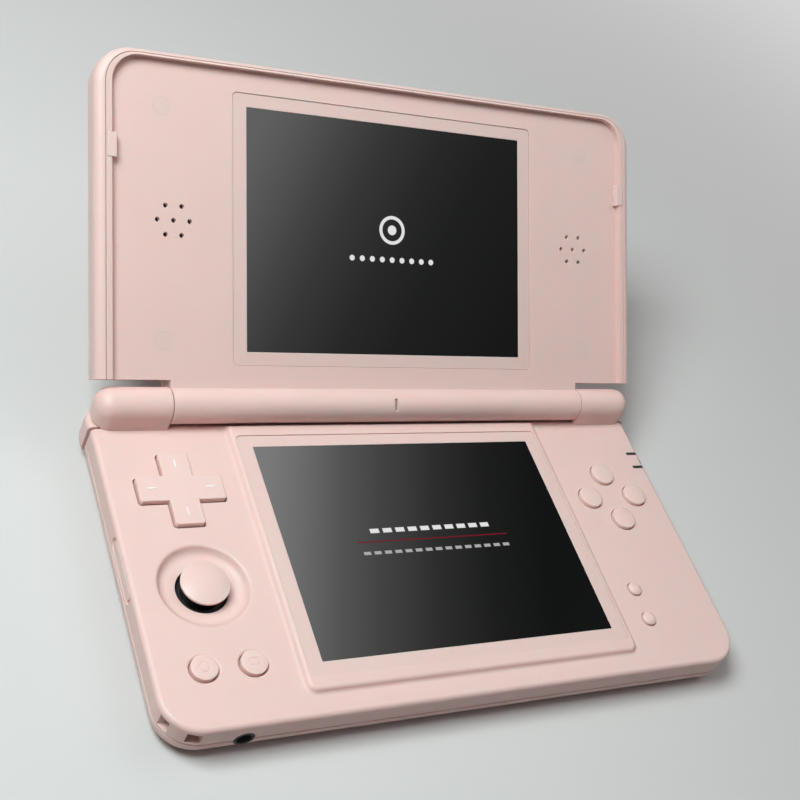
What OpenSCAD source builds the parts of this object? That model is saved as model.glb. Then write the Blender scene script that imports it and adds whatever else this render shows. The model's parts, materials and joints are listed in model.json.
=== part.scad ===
// Clamshell handheld game console with two screens.
// Millimetres. Z = 0 is the table, X runs to the player's right, Y runs away from the player.
// The origin is under the middle of the base. The lid is drawn shut and then swung open.

/* [Case] */
// Width of base and lid
case_w = 160; // [154:1:170]
// Depth of the base from front face to back face
case_d = 90; // [88:1:98]
// Corner radius of base and lid seen from above
corner_r = 9.5; // [9.3:0.1:11]
// Height of the deck above the table
deck_z = 11.3; // [11.2:0.1:12.4]
// Height of the seam between the two base shells
seam_z = 5.6; // [5.4:0.1:5.7]
// Rounding along the edge of the deck
deck_edge_r = 1.2; // [0.8:0.1:2]
// Rounding under the bottom shell
belly_r = 4; // [3:0.25:4.5]
// Wall of the moulded shells
wall = 1.4; // [1.2:0.1:1.6]
// Height that the rubber feet stand proud of the bottom shell
foot_rise = 0.6; // [0.4:0.1:0.8]
// Radius of a rubber foot
foot_r = 4; // [3:0.5:5]

/* [Screens] */
// Visible width of each screen
screen_w = 82.3; // [76:0.1:84]
// Visible height of each screen
screen_h = 61.75; // [57:0.25:62]
// Border of the screen frame at the left and right
frame_side = 3.8; // [3.5:0.05:4.3]
// Border of the screen frame above and below
frame_end = 3.45; // [3:0.05:3.6]
// Thickness of the screen frame
frame_t = 0.8; // [0.6:0.1:1]
// Thickness of the glass in the frame
glass_t = 0.7; // [0.5:0.1:0.7]
// Thickness of a display module
display_t = 2.5; // [2:0.1:2.7]
// Corner radius of a screen frame
frame_r = 1.25; // [1:0.25:3]
// Depth of a screen frame's face below the surface around it
frame_sink = 0.25; // [0.1:0.05:0.3]
// Height of the raised plate around the lower screen
plate_rise = 1.3; // [0.8:0.1:1.4]
// Margin of the plate beside the screen frame
plate_side = 2.5; // [2.4:0.1:3]
// Margin of the plate in front of the screen frame
plate_front = 4.3; // [2.4:0.1:4.6]
// Width of the soft slopes at the sides of the plate
plate_slope = 2.3; // [1.6:0.1:2.3]

/* [Hinge] */
// Distance of the hinge axis in front of the back face
hinge_inset = 4.4; // [4.3:0.1:5]
// Height of the hinge axis above the deck
hinge_rise = 4; // [3.9:0.1:4.2]
// Radius of the barrel and of the knuckles
barrel_r = 4.55; // [4.3:0.05:4.6]
// Length of each fixed knuckle beside the barrel
knuckle_len = 18.1; // [17:0.1:20]
// Distance from the hinge axis to the middle of the lower screen
lower_reach = 41.9; // [41:0.1:42.4]
// Distance of the upper screen's middle from the middle of the lid's face, away from the hinge
upper_shift = 1; // [0:0.1:1.3]
// Angle between the open lid and the deck
lid_open = 140.3; // [90:0.1:155]
// Radius of the hinge axle and of the damper's shaft
axle_r = 2; // [1.6:0.1:2.2]
// Length of the axle inside the barrel and inside the knuckle
axle_grip = 10; // [8:0.5:12]

/* [Lid] */
// Thickness of the lid behind its inner face
lid_t = 7.8; // [7.4:0.1:8.4]
// Height of the rim around the lid's inner face
rim_h = 2; // [1.8:0.1:2.2]
// Width of the rim at the sides
rim_side = 4; // [3.75:0.25:5]
// Width of the rim at the lid's free edge
rim_end = 1.8; // [1.6:0.1:2.6]
// Width of the outer shell's band beside the inner frame
lid_band = 2.4; // [2:0.1:2.6]
// Width of that band at the lid's free edge
lid_band_end = 1.1; // [1:0.05:1.2]
// Overhang of the closed lid past the front of the base
lid_overhang = 0.4; // [0:0.1:0.8]
// Rounding along the outside of the lid
lid_edge_r = 4.6; // [3.6:0.1:4.6]
// Depth of the lid's seam behind its inner face
lid_seam = 1.9; // [1.7:0.1:2]
// Distance of the speakers from the side of the lid
speaker_inset = 19.7; // [18:0.1:20]
// Radius of one sound hole
sound_hole_r = 0.6; // [0.4:0.05:0.8]
// Spacing of the sound holes
sound_pitch = 4.1; // [3:0.1:5]

/* [Controls] */
// Distance of the direction pad and the stick from the side of the case
left_inset = 17.2; // [17:0.1:18]
// Distance of the four round keys' middle from the side of the case
right_inset = 17.3; // [17:0.1:18]
// Length of the direction pad from tip to tip
pad_len = 21; // [19:0.5:21.5]
// Width of one arm of the direction pad
pad_arm = 7.2; // [6:0.1:7.6]
// Radius of the thumb bowl around the stick
bowl_r = 11.5; // [11.2:0.1:11.8]
// Depth of the thumb bowl
bowl_depth = 2.2; // [1.8:0.1:2.2]
// Radius of the hole at the bottom of the bowl
bowl_hole_r = 6.2; // [6:0.05:6.4]
// Radius of the stick's cap
stick_r = 5.75; // [5.4:0.05:6]
// Radius of the four round keys
face_key_r = 3.5; // [3.2:0.05:3.8]
// Distance of each round key from the middle of the four
face_key_spread = 7.75; // [7.4:0.05:9]
// Radius of the home and return keys
menu_key_r = 3.1; // [2.9:0.05:3.4]
// Radius of the start and select keys
small_key_r = 2; // [1.8:0.05:2.4]
// Length of the volume rocker
rocker_len = 15.4; // [12:0.2:16]
// Height of the volume rocker and the power button
rocker_h = 2.6; // [2:0.1:2.8]
// Length of the power button
power_len = 8; // [6:0.5:10]
// How far the shoulder buttons stand proud of the case
shoulder_proud = 0.6; // [0.3:0.05:0.7]

/* [Ports] */
// Radius of the headphone jack's bore
jack_r = 1.8; // [1.75:0.05:2]
// Outer radius of the headphone jack
jack_outer_r = 2.35; // [2.3:0.05:2.6]
// Width of the charging port
port_w = 9; // [8.6:0.1:9.4]
// Height of the charging port
port_h = 3.2; // [3:0.1:3.4]
// Width of the memory card slot
card_w = 12; // [11:0.5:14]

/* [Fits] */
// Gap round a key in the deck
key_gap = 0.2; // [0.15:0.05:0.3]
// Gap round the direction pad
pad_gap = 0.3; // [0.25:0.05:0.4]
// Gap between the barrel and the trough under it
trough_gap = 0.7; // [0.5:0.05:0.8]
// Gap between the ends of the barrel and the knuckles
knuckle_gap = 0.3; // [0.2:0.05:0.4]
// Radial clearance of a pin or axle that turns in its bore
running_gap = 0.05; // [0.03:0.01:0.08]
// Gap between the closed lid's rim and the deck
rim_gap = 0.4; // [0.3:0.05:0.5]
// Gap round the shoulder buttons
shoulder_gap = 0.4; // [0.3:0.05:0.5]
// Gap round a part that is set into another
seat_gap = 0.1; // [0.05:0.05:0.15]
// Gap round a screen frame
frame_gap = 0.05; // [0.03:0.01:0.1]
// Gap between the lid's inner frame and its outer shell
lid_seam_gap = 0.15; // [0.1:0.05:0.2]

/* [Hidden] */
$fn = 64;

// Colours
shell_pink = [0.93, 0.80, 0.78];
key_pink = [0.94, 0.83, 0.81];
board_green = [0.12, 0.35, 0.22];
steel = [0.72, 0.72, 0.74];
rubber_grey = [0.30, 0.28, 0.28];
silicone_grey = [0.75, 0.75, 0.76];
screen_black = [0.04, 0.04, 0.05];

// Heights in the base
floor_z = foot_rise + wall;
ceiling_z = deck_z - wall;
plate_z = deck_z + plate_rise;
board_t = 1;
board_z = seam_z + 0.3;
board_top = board_z + board_t;
key_play = 0.3;
key_flange_t = 1;
key_flange_z = ceiling_z - key_play - key_flange_t;
key_travel = 0.8;
membrane_top = key_flange_z - key_travel - 0.2;

// Hinge and lid, drawn shut
hinge_y = case_d / 2 - hinge_inset;
hinge_z = deck_z + hinge_rise;
inner_z = deck_z + rim_gap + rim_h;
outer_z = inner_z + lid_t;
rim_z = inner_z - rim_h;
lid_seam_z = inner_z + lid_seam;
knuckle_end_x = case_w / 2 - 0.5;
knuckle_x = knuckle_end_x - knuckle_len;
barrel_x = knuckle_x - knuckle_gap;
trough_r = barrel_r + trough_gap;
lid_front_y = -case_d / 2 - lid_overhang;
joint_y = hinge_y - 2.4;
lid_back_r = 9.5;
lid_back_drop = 2.3;
lid_corner_y = hinge_y - barrel_r - 1.65;
lid_cavity_y = lid_corner_y - 2;

// Screens
frame_w = screen_w + 2 * frame_side;
frame_h = screen_h + 2 * frame_end;
lower_y = hinge_y - lower_reach;
upper_y = (joint_y + lid_front_y + rim_end) / 2 - upper_shift;
display_w = screen_w + 3;
display_h = screen_h + 3;
display_play = 0.3;
glass_recess = frame_t - glass_t;
plate_front_y = lower_y - frame_h / 2 - plate_front;
plate_w = frame_w + 2 * plate_side;
plate_r = 2.5;
plate_step = 1.4;
plate_root = 0.5;
lower_face_z = plate_z - frame_sink;
upper_face_z = inner_z + frame_sink;

// Places of the controls on the deck
pad_pos = [-case_w / 2 + left_inset + 0.3, lower_y + 19];
home_pos = [-case_w / 2 + 11.6, -case_d / 2 + 14.9];
return_pos = [home_pos[0] + 11.5, home_pos[1]];
stick_pos = [-case_w / 2 + left_inset - 0.2, (pad_pos[1] + home_pos[1]) / 2 - 2.7];
face_pos = [case_w / 2 - right_inset, lower_y + 11];
select_pos = [case_w / 2 - 24.9, -case_d / 2 + 14.8];
start_pos = [select_pos[0], select_pos[1] + 9.4];
face_key_rise = 1.3;
menu_key_rise = 0.9;
small_key_rise = 1.2;
menu_dish = 0.35;
small_pad_w = 2 * small_key_r + 4;
pad_rise = 1.3;
key_flange_lip = 0.9;

// Direction pad
pad_flange_r = pad_len / 2 - 2.9;
pad_tilt = 4;
pad_lift = pad_flange_r * sin(pad_tilt * sqrt(2));
pad_base_z = ceiling_z - pad_lift - 0.2;
pad_flange_t = 0.8;
pad_pivot_r = 1;
pad_pivot_z = pad_base_z - pad_flange_t + 0.5;

// Stick
stick_pivot_z = seam_z;
stick_top_z = inner_z - 0.4;
stick_cap_t = 2.1;
stick_dome = 1.2;
stick_rim_z = stick_top_z - stick_cap_t;
bowl_floor_z = deck_z - bowl_depth;
bowl_skin = 0.9;
module_half = 7.5;
module_top = stick_pivot_z + 2;
shroud_r = 5.2;
gimbal_r = 2.2;
gimbal_len = 8.4;
shaft_r = 1.1;

// Shoulder buttons
bay_y = hinge_y - 3.8;
bay_floor_z = floor_z + 0.5;
outer_bay_top = deck_z + 0.4;
knuckle_foot_z = deck_z - 1.3;
knuckle_foot_y = bay_y + 0.9;
bay_corner_x = case_w / 2 - 3;
inner_bay_top = hinge_z - trough_r - 1.2;
inner_bay_x = case_w / 2 - 42.4;
shoulder_wall = 2;
shoulder_skin = 1.3;
shoulder_corner_r = 6;
shoulder_belly_r = 2.8;
shoulder_travel = 1.5;
outer_shoulder_pin = [case_w / 2 - 4.8, case_d / 2 - 3.5];
inner_shoulder_pin = [inner_bay_x + 2.3, case_d / 2 - 2.8];
shoulder_pin_r = 0.75;
shoulder_boss_r = 1.9;
back_cavity_x = inner_bay_x - wall;
partition_y = bay_y - wall;

// Side controls
side_z = deck_z - 3;
side_recess = 0.6;
side_flange_t = 0.8;
side_flange_gap = 0.45;
rocker_y = lower_y - 0.4;
power_y = rocker_y;

// Fasteners
screw_r = 1;
screw_head_r = 1.9;
screw_head_t = 1.2;
boss_r = 2.6;
case_screw_places = [
    for (s = [-1, 1]) [s * (case_w / 2 - 30.35), -case_d / 2 + 5.5],
    for (s = [-1, 1]) [s * (frame_w / 2 + 3.2), lower_y + 5.3],
    for (s = [-1, 1]) [s * (inner_bay_x - 9.6), hinge_y - 2.1]
];
lid_screw_places = [
    for (sx = [-1, 1], sy = [-1, 1]) [sx * (case_w / 2 - 16.8), upper_y + sy * (screen_h / 2 - 2.4)]
];
plug_r = 2.15;
plug_t = 0.8;

// Battery between the front row of case screws and the partition
battery_w = frame_w - 14.6;
battery_d = frame_h - 14.65;
battery_y = lower_y - 3.7;

// Ports
jack_pos = [-case_w / 2 + 18.7, -case_d / 2];
jack_len = 12;
port_len = 8.9;
card_pos_y = -case_d / 2 + 19.2;
card_len = 14.8;
card_t = 1.6;
strap_front = [-case_w / 2 + 5.2, -case_w / 2 + 8.4];
strap_side = [-case_d / 2 + 3.9, -case_d / 2 + 6.3];
strap_z = [deck_z - 5.2, deck_z - 1.7];

// Further fixed sizes
knuckle_nose_r = 4;
damper_r = 3;
damper_len = knuckle_len - 5.6;
lid_back_lift = 0.04;
lid_back_run = sqrt(lid_back_r * lid_back_r - pow(lid_back_r - lid_back_drop, 2));
lid_rim_r = 2.2;
lid_boss_r = 3.2;
lid_boss_z = inner_z + 3.5;
lid_screw_seat_z = inner_z + 2.1;
lid_screw_end_z = outer_z - wall - 1;
speaker_x = case_w / 2 - speaker_inset;
speaker_y = upper_y - 0.9;
lid_board_t = 0.8;
mic_r = 2;
mic_t = 1.4;
mic_z = hinge_z - barrel_r + 1.2;
mic_slot = [0.85, 3.2];
seam_groove = 0.4;
seam_groove_h = 0.3;
window_len = 3.7;
window_w = 0.9;
pad_membrane_top = pad_base_z - pad_flange_t - pad_lift - 0.15;
gimbal_pin_r = 1;
gimbal_pin_x = 6.8;
stick_pin_r = 0.6;
shoulder_pin_seat = 0.6;
shoulder_floor_z = bay_floor_z + shoulder_gap;
switch_tip_y = case_d / 2 + shoulder_proud - shoulder_wall - 1.1;
screw_seat_z = floor_z + 0.1;
screw_end_z = ceiling_z - 1;
foot_x = case_w / 2 - 16;
foot_rows = [-case_d / 2 + 9, case_d / 2 - 9];
foot_seat = 0.4;
foot_round = 0.4;
jack_body_half = 2.6;
port_y = case_d / 2 - 0.2 - port_len;
face_keys = [0:3];

big = 400;
eps = 0.01;

// ---------------------------------------------------------------- shared forms

// The sliver between a square corner and the arc that rounds it
module corner_waste(r) {
    difference() {
        square(r + 1);
        circle(r);
    }
}

// Section of an edge: the outline lies at x = 0 and the material to its left
module edge_section(z0, z1, r_top, r_bottom) {
    difference() {
        translate([-big / 2, z0])
            square([big / 2, z1 - z0]);
        if (r_top > 0)
            translate([-r_top, z1 - r_top])
                corner_waste(r_top);
        if (r_bottom > 0)
            translate([-r_bottom, z0 + r_bottom])
                mirror([0, 1])
                    corner_waste(r_bottom);
    }
}

// The part of a section that lies outside the line x = -reach, moved so that line is x = 0
module outer_half(reach) {
    intersection() {
        translate([reach, 0])
            children();
        translate([0, -big / 2])
            square(big);
    }
}

// The child as the section of both edges of a bar, at the distance reach from its middle
module both_edges(reach) {
    for (m = [0, 1])
        mirror([m, 0])
            outer_half(reach)
                children();
}

// A solid with a rounded rectangle for outline and the child as the section of its edge
module swept_edge(w, d, r) {
    for (sx = [-1, 1], sy = [-1, 1])
        translate([sx * (w / 2 - r), sy * (d / 2 - r), 0])
            rotate_extrude()
                outer_half(r)
                    children();
    rotate([90, 0, 90])
        linear_extrude(w - 2 * r, center = true)
            both_edges(d / 2)
                children();
    rotate([90, 0, 0])
        linear_extrude(d - 2 * r, center = true)
            both_edges(w / 2)
                children();
}

// A plate with rounded corners in plan and, if wanted, rounded upper and lower edges
module slab(w, d, r, z0, z1, r_top = 0, r_bottom = 0) {
    swept_edge(w, d, r)
        edge_section(z0, z1, r_top, r_bottom);
}

// A box given by its two corners
module block(low, high) {
    translate(low)
        cube(high - low);
}

// A slot with round ends that runs along Y through the YZ plane
module pill(len, h, depth) {
    rotate([90, 0, 90])
        linear_extrude(depth, center = true)
            pill_outline(len, h);
}

module pill_outline(len, h) {
    square([len - h, h], center = true);
    for (s = [-1, 1])
        translate([s * (len - h) / 2, 0])
            circle(h / 2);
}

// The same on both sides of the console
module both_sides() {
    for (m = [0, 1])
        mirror([m, 0, 0])
            children();
}

// From the shut to the open position of the lid
module swung_open() {
    translate([0, hinge_y, hinge_z])
        rotate([-lid_open, 0, 0])
            translate([0, -hinge_y, -hinge_z])
                children();
}

// A cylinder along X about the hinge axis
module about_hinge(r, x0, x1) {
    translate([x0, hinge_y, hinge_z])
        rotate([0, 90, 0])
            cylinder(r = r, h = x1 - x0);
}

// ---------------------------------------------------------------- base shells

// Edge of the raised plate: it falls to the deck over the width run, in two equal arcs
module plate_section(run) {
    r = run / (2 * sin(2 * atan(plate_rise / run)));
    translate([r - run, 0])
        edge_section(deck_z - plate_root, plate_z, r, 0);
    difference() {
        translate([-run, deck_z - plate_root])
            square([run, plate_root + plate_rise / 2]);
        translate([0, deck_z + r])
            circle(r);
    }
}

// The plate has a steeper front than sides and runs back to the trough, which cuts its end
module screen_plate() {
    depth = hinge_y - plate_front_y + 2 * plate_r;
    intersection() {
        translate([0, plate_front_y + depth / 2, 0])
            swept_edge(plate_w + 0.6, depth, plate_r)
                plate_section(plate_step);
        rotate([90, 0, 0])
            linear_extrude(2 * case_d, center = true)
                both_edges(plate_w / 2)
                    plate_section(plate_slope);
        block([-case_w, -case_d, 0], [case_w, hinge_y - 1, big]);
    }
}

// Half outline of a bullet: its axis is x = 0 and its rounded nose is at y = len
module bullet_outline(len) {
    difference() {
        square([barrel_r, len]);
        translate([barrel_r - knuckle_nose_r, len - knuckle_nose_r])
            corner_waste(knuckle_nose_r);
    }
}

// Fixed knuckle of the hinge: a bullet lying along X with straight walls down to the deck
module knuckle() {
    len = knuckle_end_x - knuckle_x;
    intersection() {
        union() {
            translate([knuckle_x, hinge_y, hinge_z])
                rotate([0, 90, 0])
                    rotate_extrude()
                        bullet_outline(len);
            translate([knuckle_x, hinge_y, knuckle_foot_z])
                linear_extrude(hinge_z - knuckle_foot_z)
                    for (m = [0, 1])
                        mirror([0, m])
                            rotate(-90)
                                bullet_outline(len);
        }
        block([knuckle_x, hinge_y - 10, knuckle_foot_z], [knuckle_end_x, hinge_y + 10, hinge_z + 10]);
    }
}

// Space for the works between the walls, up to the partition in front of the shoulder buttons
module inner_space(z0, z1, r_bottom = 0) {
    intersection() {
        slab(case_w - 2 * wall, case_d - 2 * wall, corner_r - wall, z0, z1, 0, r_bottom);
        union() {
            block([-case_w, -case_d, z0 - 1], [case_w, partition_y, z1 + 1]);
            block([-back_cavity_x, 0, z0 - 1], [back_cavity_x, case_d, min(z1 + 1, inner_bay_top)]);
        }
    }
}

// Room for the two shoulder buttons of the right side; the knuckle keeps a foot in front of it
module shoulder_bays() {
    block([knuckle_x, bay_y, bay_floor_z], [case_w, case_d, knuckle_foot_z]);
    block([knuckle_x, knuckle_foot_y, bay_floor_z], [case_w, case_d, outer_bay_top]);
    block([bay_corner_x, bay_y, bay_floor_z], [case_w, case_d, outer_bay_top]);
    block([inner_bay_x, bay_y, bay_floor_z], [knuckle_x + eps, case_d, inner_bay_top]);
}

// Holes for the pins of the right side's shoulder buttons
module shoulder_pin_rods(r, below, above) {
    rod(outer_shoulder_pin, r, bay_floor_z - below, outer_bay_top + above);
    rod(inner_shoulder_pin, r, bay_floor_z - below, inner_bay_top + above);
}

module rod(place, r, z0, z1) {
    translate([place[0], place[1], z0])
        cylinder(r = r, h = z1 - z0);
}

// A wrist strap passes behind the front left corner, in at the front and out at the side
module strap_tunnel() {
    block([strap_front[0], -case_d, strap_z[0]], [strap_front[1], strap_side[1], strap_z[1]]);
    block([-case_w, strap_side[0], strap_z[0]], [strap_front[1], strap_side[1], strap_z[1]]);
}

module strap_corner_block() {
    block(
        [-case_w, -case_d, seam_z - 1],
        [strap_front[1] + wall, strap_side[1] + wall, ceiling_z + 1]
    );
}

module headphone_hole() {
    translate([jack_pos[0], jack_pos[1] - 5, seam_z])
        rotate([-90, 0, 0])
            cylinder(r = jack_outer_r + seat_gap, h = wall + 6);
}

module charging_hole() {
    translate([0, case_d / 2, seam_z])
        rotate([0, 0, 90])
            pill(port_w + 2 * seat_gap, port_h + 2 * seat_gap, 4 * wall);
}

// Openings in the side walls for the volume rocker, the power button and the memory card
module side_openings() {
    translate([-case_w / 2, rocker_y, side_z])
        side_opening(rocker_len);
    translate([case_w / 2, power_y, side_z])
        side_opening(power_len);
    block(
        [case_w / 2 - 2 * wall, card_pos_y - card_w / 2, board_top + 0.3],
        [case_w, card_pos_y + card_w / 2, board_top + card_t - 0.3]
    );
}

module side_opening(len) {
    pill(len + 2 * key_gap, rocker_h + 2 * key_gap, 4 * wall);
    pill(len + 2, rocker_h + 1.2, 2 * side_recess);
}

function arc(cx, cy, r, a0, a1, steps) =
    [for (i = [0:steps]) let (a = a0 + (a1 - a0) * i / steps) [cx + r * cos(a), cy + r * sin(a)]];

// Thumb bowl: a soft shoulder at the deck, a sloping wall, a fillet and a flat floor with a hole
module bowl_cut() {
    shoulder = 1;
    fillet = 2.4;
    slope = 60;
    wall_h = bowl_depth - (shoulder + fillet) * (1 - cos(slope));
    floor_r = bowl_r - (shoulder + fillet) * sin(slope) - wall_h / tan(slope);
    translate([stick_pos[0], stick_pos[1], 0]) {
        rotate_extrude()
            polygon(concat(
                [[0, bowl_floor_z], [0, deck_z + 1], [bowl_r, deck_z + 1]],
                arc(bowl_r, deck_z - shoulder, shoulder, 90, 90 + slope, 6),
                arc(floor_r, bowl_floor_z + fillet, fillet, slope - 90, -90, 6)
            ));
        translate([0, 0, seam_z])
            cylinder(r = bowl_hole_r, h = deck_z - seam_z);
    }
}

module deck_key_holes() {
    for (k = face_keys)
        rod(face_place(k), face_key_r + key_gap, ceiling_z - 1, deck_z + 1);
    for (place = [start_pos, select_pos])
        rod(place, small_key_r + key_gap, ceiling_z - 1, deck_z + 1);
    for (place = [home_pos, return_pos]) {
        rod(place, menu_key_r + key_gap, ceiling_z - 1, deck_z + 1);
        // A shallow dish round the key
        translate([place[0], place[1], deck_z - menu_dish])
            cylinder(r1 = menu_key_r + key_gap, r2 = menu_key_r + key_gap + 1, h = 2 * menu_dish);
    }
    translate([pad_pos[0], pad_pos[1], ceiling_z - 1])
        linear_extrude(3 * wall)
            cross_outline(pad_len + 2 * pad_gap, pad_arm + 2 * pad_gap);
}

module cross_outline(len, arm) {
    for (a = [0, 90])
        rotate(a)
            rounded_outline(len, arm, 0.8);
}

module rounded_outline(w, h, r) {
    square([w - 2 * r, h], center = true);
    square([w, h - 2 * r], center = true);
    for (sx = [-1, 1], sy = [-1, 1])
        translate([sx * (w / 2 - r), sy * (h / 2 - r)])
            circle(r);
}

// Two small windows cross the right edge of the deck
module window_prisms() {
    for (y = [lower_y + 21.3, lower_y + 26.2])
        translate([case_w / 2 - 2.55, y, ceiling_z - 0.6])
            linear_extrude(deck_z)
                pill_outline(window_len, window_w);
}

module base_blank() {
    slab(case_w, case_d, corner_r, seam_z, deck_z, deck_edge_r, 0);
}

module base_top_shell() {
    color(shell_pink)
        difference() {
            union() {
                difference() {
                    union() {
                        base_blank();
                        screen_plate();
                        both_sides()
                            knuckle();
                    }
                    difference() {
                        inner_space(seam_z - 1, ceiling_z);
                        strap_corner_block();
                    }
                    both_sides()
                        shoulder_bays();
                }
                translate([stick_pos[0], stick_pos[1], bowl_floor_z - bowl_skin])
                    cylinder(r = bowl_r - bowl_skin / 2, h = ceiling_z - bowl_floor_z + 1);
                for (place = case_screw_places)
                    let (outside = place[1] > partition_y)
                        rod(
                            place, boss_r, outside ? seam_z : board_top,
                            outside ? inner_bay_top + eps : ceiling_z + eps
                        );
            }
            about_hinge(trough_r, -knuckle_x, knuckle_x);
            about_hinge(axle_r, -knuckle_x - axle_grip, -knuckle_x + 1);
            about_hinge(damper_r, knuckle_x - 1, knuckle_x + damper_len);
            for (place = case_screw_places)
                rod(place, screw_r, seam_z - 1, screw_end_z + 0.1);
            both_sides()
                shoulder_pin_rods(shoulder_pin_r, 1, shoulder_pin_seat);
            translate([0, lower_y, 0]) {
                translate([0, 0, lower_face_z - frame_t])
                    linear_extrude(2 * frame_t)
                        frame_pocket();
                block(
                    [-display_w / 2 - display_play, -display_h / 2 - display_play, ceiling_z - 1],
                    [display_w / 2 + display_play, display_h / 2 + display_play, plate_z]
                );
            }
            bowl_cut();
            deck_key_holes();
            window_prisms();
            strap_tunnel();
            headphone_hole();
            charging_hole();
            side_openings();
        }
}

// Tray with a fine groove all round, just under the seam
module bottom_blank() {
    inset = 2 * seam_groove;
    slab(case_w, case_d, corner_r, foot_rise, seam_z - seam_groove_h, 0, belly_r);
    slab(case_w - inset, case_d - inset, corner_r - seam_groove, belly_r, seam_z);
}

module base_bottom_shell() {
    color(shell_pink)
        difference() {
            union() {
                difference() {
                    bottom_blank();
                    inner_space(floor_z, seam_z + 1, belly_r - wall);
                    both_sides()
                        shoulder_bays();
                }
                for (place = case_screw_places)
                    rod(place, boss_r, floor_z - eps, place[1] > partition_y ? seam_z : board_z);
            }
            for (place = case_screw_places) {
                rod(place, screw_head_r + seat_gap, 0, screw_seat_z);
                rod(place, screw_r + seat_gap, 0, board_z + 1);
            }
            both_sides() {
                shoulder_pin_rods(shoulder_pin_r, shoulder_pin_seat, 0);
                for (y = foot_rows)
                    rod([foot_x, y], foot_r, 0, foot_rise + foot_seat);
            }
            headphone_hole();
            charging_hole();
        }
}

module rubber_feet() {
    color(rubber_grey)
        both_sides()
            for (y = foot_rows)
                translate([foot_x, y, 0])
                    rotate_extrude()
                        difference() {
                            square([foot_r, foot_rise + foot_seat]);
                            translate([foot_r - foot_round, foot_round])
                                mirror([0, 1])
                                    corner_waste(foot_round);
                        }
}

module case_screws() {
    color(steel)
        for (place = case_screw_places)
            screw(place, screw_seat_z, screw_end_z, 1);
}

// A screw with its head below the seat when up = 1 and above it when up = -1
module screw(place, seat_z, end_z, up) {
    head_z = up > 0 ? seat_z - screw_head_t : seat_z;
    difference() {
        union() {
            rod(place, screw_head_r, head_z, head_z + screw_head_t);
            rod(place, screw_r, min(seat_z, end_z), max(seat_z, end_z));
        }
        for (a = [0, 90])
            translate([place[0], place[1], up > 0 ? head_z : head_z + screw_head_t])
                rotate(a)
                    cube([2.2, 0.5, 0.8], center = true);
    }
}

// ---------------------------------------------------------------- screens

module frame_pocket() {
    rounded_outline(frame_w + 2 * frame_gap, frame_h + 2 * frame_gap, frame_r);
}

// The frame lies with its outer face in the plane z = 0
module screen_frame() {
    color(shell_pink)
        translate([0, 0, -frame_t])
            linear_extrude(frame_t)
                difference() {
                    rounded_outline(frame_w, frame_h, frame_r);
                    square([screen_w, screen_h], center = true);
                }
}

module screen_glass() {
    color(screen_black)
        block([-screen_w / 2, -screen_h / 2, -frame_t], [screen_w / 2, screen_h / 2, -glass_recess]);
}

module display_module() {
    color([0.25, 0.25, 0.27])
        block(
            [-display_w / 2, -display_h / 2, -frame_t - display_t],
            [display_w / 2, display_h / 2, -frame_t]
        );
}

module at_lower_screen() {
    translate([0, lower_y, lower_face_z])
        children();
}

module at_upper_screen() {
    swung_open()
        translate([0, upper_y, upper_face_z])
            rotate([180, 0, 0])
                children();
}

module lower_screen_frame() at_lower_screen() screen_frame();
module lower_screen_glass() at_lower_screen() screen_glass();
module lower_display() at_lower_screen() display_module();
module upper_screen_frame() at_upper_screen() screen_frame();
module upper_screen_glass() at_upper_screen() screen_glass();
module upper_display() at_upper_screen() display_module();

// ---------------------------------------------------------------- works in the base

module main_board() {
    half = case_w / 2 - wall - 2;
    front = -case_d / 2 + wall + 2.2;
    back = partition_y - 2;
    cpu_h = lower_face_z - frame_t - display_t - 0.5 - board_top;
    color(board_green) {
        difference() {
            union() {
                block([-half, front, board_z], [half, back, board_top]);
                block([-port_w, 0, board_z], [port_w, case_d / 2 - 2.5, board_top]);
            }
            block([-port_w / 2 - 0.3, port_y - 0.3, 0], [port_w / 2 + 0.3, case_d, big]);
            block(
                [stick_pos[0] - module_half - 0.4, stick_pos[1] - module_half - 0.4, 0],
                [stick_pos[0] + module_half + 0.4, stick_pos[1] + module_half + 0.4, big]
            );
            block(
                [jack_pos[0] - jack_body_half - 0.5, -case_d, 0],
                [jack_pos[0] + jack_body_half + 0.5, jack_pos[1] + jack_len + 0.3, big]
            );
            block([-case_w, -case_d, 0], [strap_front[1] + wall + 0.5, strap_side[1] + wall + 0.5, big]);
            for (place = case_screw_places)
                rod(place, screw_r + 0.2, 0, big);
        }
        // Shielded processor under the lower screen, and the memory and power chips beside it
        chip(0, 4, screen_w * 0.32, screen_h * 0.39, cpu_h);
        chip(screen_w * 0.29, 2, screen_w * 0.17, screen_h * 0.19, 1);
        chip(-screen_w * 0.3, 8, screen_w * 0.17, screen_h * 0.19, 1);
        chip(-screen_w * 0.32, -10, screen_w * 0.1, screen_h * 0.11, 1);
    }
}

module chip(x, y, w, d, h) {
    translate([x, lower_y + y, board_top + h / 2])
        cube([w, d, h], center = true);
}

module battery() {
    color([0.16, 0.17, 0.20])
        block(
            [-battery_w / 2, battery_y - battery_d / 2, floor_z],
            [battery_w / 2, battery_y + battery_d / 2, board_z - 0.3]
        );
}

module audio_jack() {
    color([0.12, 0.12, 0.13])
        difference() {
            union() {
                translate([jack_pos[0], jack_pos[1], seam_z])
                    rotate([-90, 0, 0])
                        cylinder(r = jack_outer_r, h = jack_len);
                block(
                    [jack_pos[0] - jack_body_half, jack_pos[1] + wall + 0.2, seam_z - jack_outer_r],
                    [jack_pos[0] + jack_body_half, jack_pos[1] + jack_len, seam_z + jack_outer_r]
                );
            }
            translate([jack_pos[0], jack_pos[1] - 1, seam_z])
                rotate([-90, 0, 0])
                    cylinder(r = jack_r, h = jack_len);
        }
}

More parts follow.
